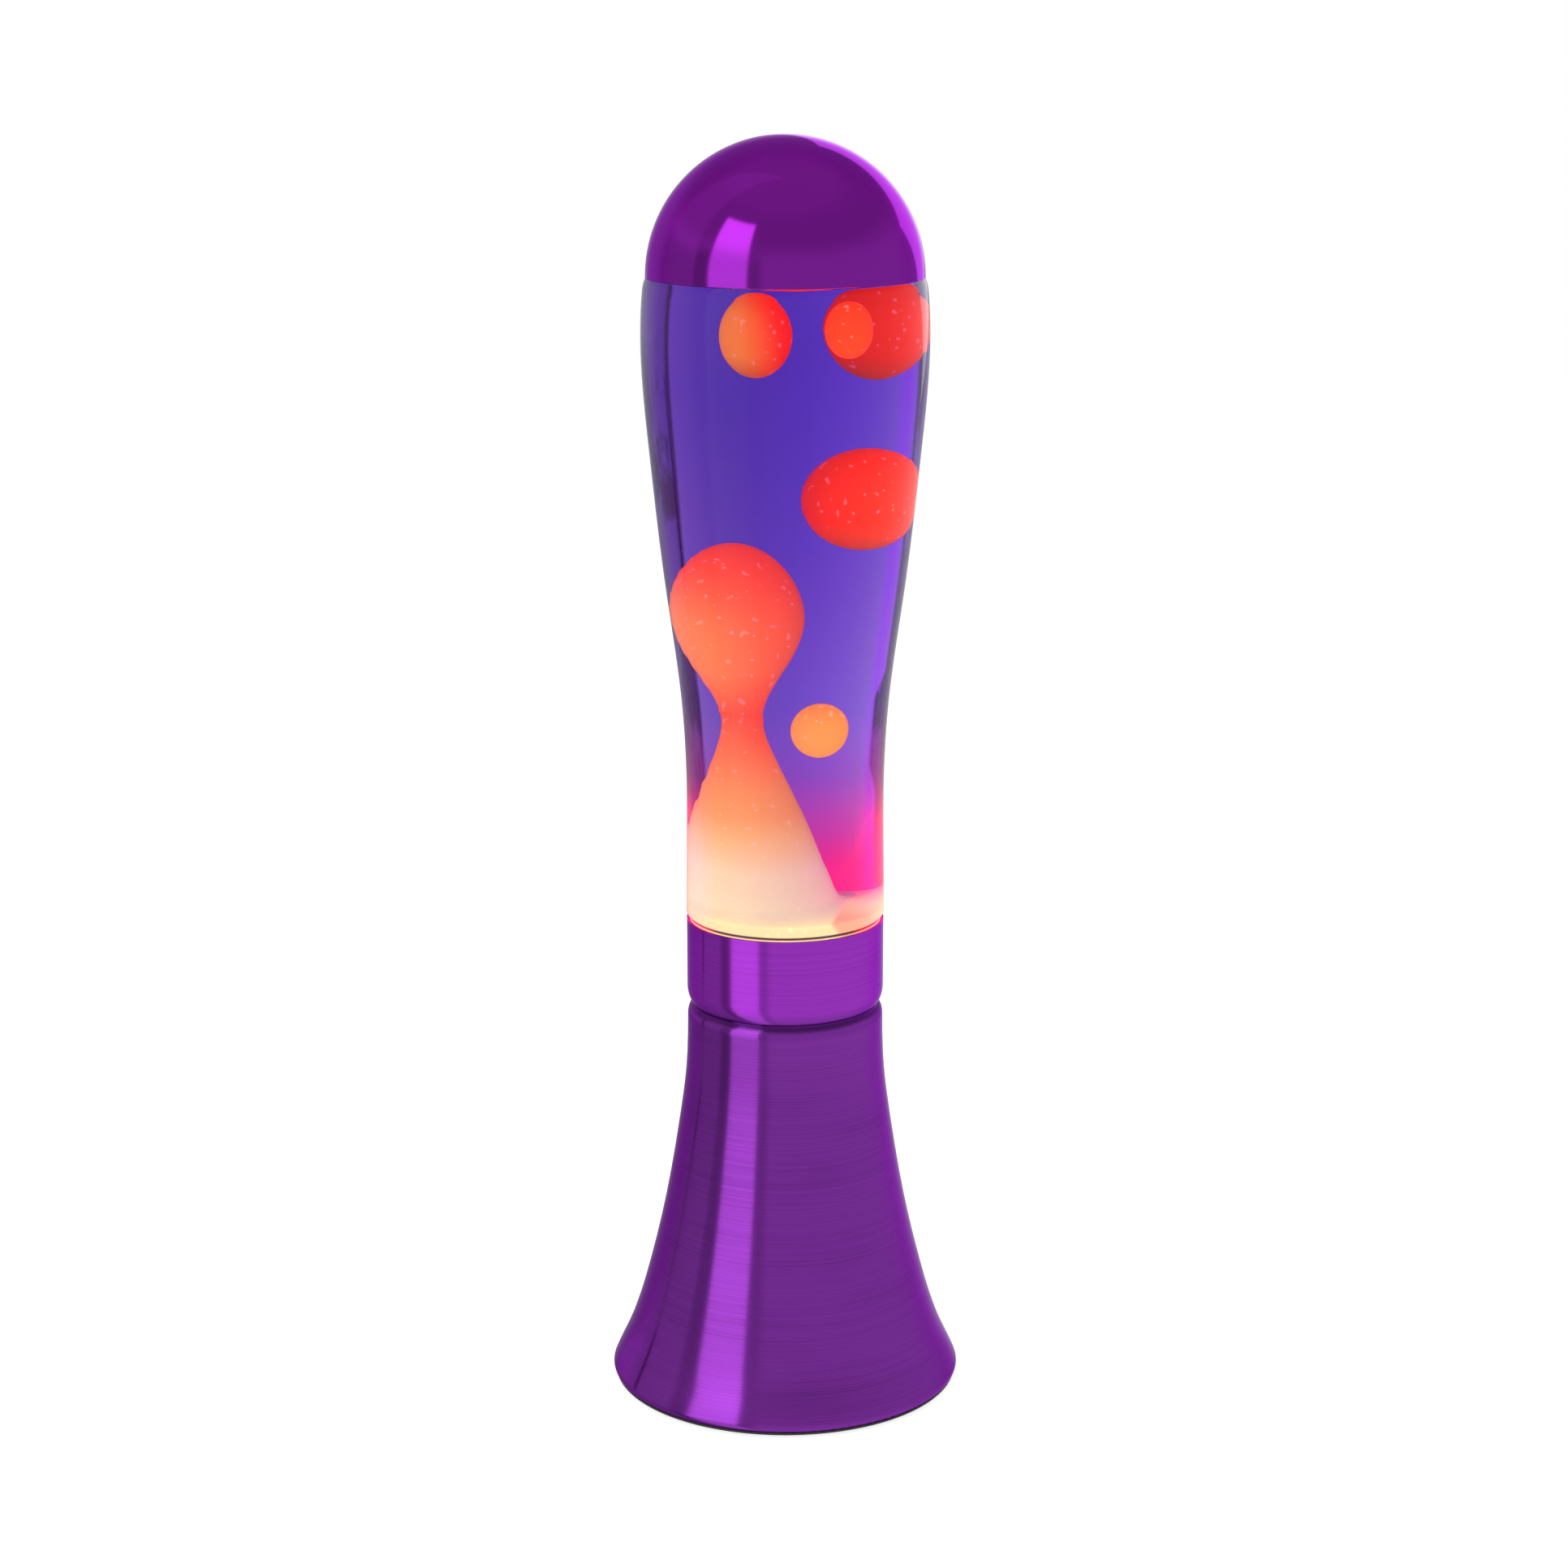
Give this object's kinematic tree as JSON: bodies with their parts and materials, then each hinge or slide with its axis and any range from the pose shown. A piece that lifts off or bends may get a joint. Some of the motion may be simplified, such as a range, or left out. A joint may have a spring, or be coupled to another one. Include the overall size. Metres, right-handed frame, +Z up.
{
  "type": "motion lamp",
  "caption": "Motion lamp: flared metal base with a reflector bulb, glass bottle of liquid and wax that flows, and a lift-off metal dome cap.",
  "frame": {"origin": "on the table under the lamp's axis", "axes": "+Z up the lamp's axis, -Y to the front, +Y to the rear where the cable enters, +X to the right"},
  "size_m": [0.1186, 0.1186, 0.42],
  "materials": {
    "purple_metal": "gloss",
    "glass": "gloss",
    "liquid": "gloss",
    "wax": "satin",
    "black_plastic": "matte",
    "white_plastic": "satin",
    "rubber": "matte",
    "zinc_steel": "satin",
    "brass": "satin",
    "bulb_glass": "satin",
    "bulb_cap_metal": "satin",
    "tungsten": "matte",
    "tinplate": "gloss"
  },
  "bodies": {
    "base": {"base_shell": "purple_metal", "base_plate": "black_plastic", "base_plate_screws": "zinc_steel", "skirt_lugs": "zinc_steel", "rubber_feet": "rubber", "cable_grommet": "black_plastic", "holder_bracket": "zinc_steel", "holder_bracket_screws": "zinc_steel", "holder_nipple": "zinc_steel", "holder_nut": "brass", "holder_body": "white_plastic", "holder_terminal_screws": "brass", "holder_thread_shell": "brass", "holder_centre_contact": "brass"},
    "bulb_tip": {"bulb_contact": "tinplate"},
    "bulb": {"bulb_glass": "bulb_glass", "bulb_cap": "bulb_cap_metal", "bulb_insulator": "black_plastic", "bulb_stem": "bulb_glass", "bulb_lead_wires": "tungsten", "bulb_filament": "tungsten"},
    "bottle": {"glass_bottle": "glass", "liquid": "liquid", "wax_column": "wax", "wax_top": "wax", "heat_ring": "zinc_steel", "crown_cap": "tinplate", "crown_seal": "white_plastic"},
    "cap": {"dome_cap": "purple_metal", "cap_liner": "black_plastic"},
    "blob_upper_left": {"wax_blob_upper_left": "wax"},
    "blob_upper_right": {"wax_blob_upper_right": "wax"},
    "blob_upper_small": {"wax_blob_upper_small": "wax"},
    "blob_middle": {"wax_blob_middle": "wax"},
    "blob_lower": {"wax_blob_lower": "wax"}
  },
  "joints": [
    {"name": "bottle_lift", "type": "slide", "parent": "base", "child": "bottle", "axis": [0, 0, 1], "range_m": [0, 0.05]},
    {"name": "cap_lift", "type": "slide", "parent": "bottle", "child": "cap", "axis": [0, 0, 1], "range_m": [0, 0.05]},
    {"name": "bulb_rise", "type": "slide", "parent": "base", "child": "bulb_tip", "axis": [0, 0, 1], "range_m": [0, 0.01128]},
    {"name": "bulb_turn", "type": "hinge", "parent": "bulb_tip", "child": "bulb", "pos_m": [0, 0, 0.06], "axis": [0, 0, 1], "range_deg": [0, 1440]},
    {"name": "rise_upper_left", "type": "slide", "parent": "bottle", "child": "blob_upper_left", "axis": [0, 0, 1], "range_m": [-0.045, 0], "deforming": ["liquid"]},
    {"name": "rise_upper_right", "type": "slide", "parent": "bottle", "child": "blob_upper_right", "axis": [0, 0, 1], "range_m": [-0.014, 0], "deforming": ["liquid"]},
    {"name": "rise_upper_small", "type": "slide", "parent": "bottle", "child": "blob_upper_small", "axis": [0, 0, 1], "range_m": [-0.06, 0.003], "deforming": ["liquid"]},
    {"name": "rise_middle", "type": "slide", "parent": "bottle", "child": "blob_middle", "axis": [0, 0, 1], "range_m": [-0.018, 0.018], "deforming": ["liquid"]},
    {"name": "rise_lower", "type": "slide", "parent": "bottle", "child": "blob_lower", "axis": [0, 0, 1], "range_m": [-0.02, 0.03], "deforming": ["liquid"]}
  ],
  "couplings": [
    {"joint": "bulb_rise", "follows": "bulb_turn", "m_per_rad": 0.00044882}
  ]
}
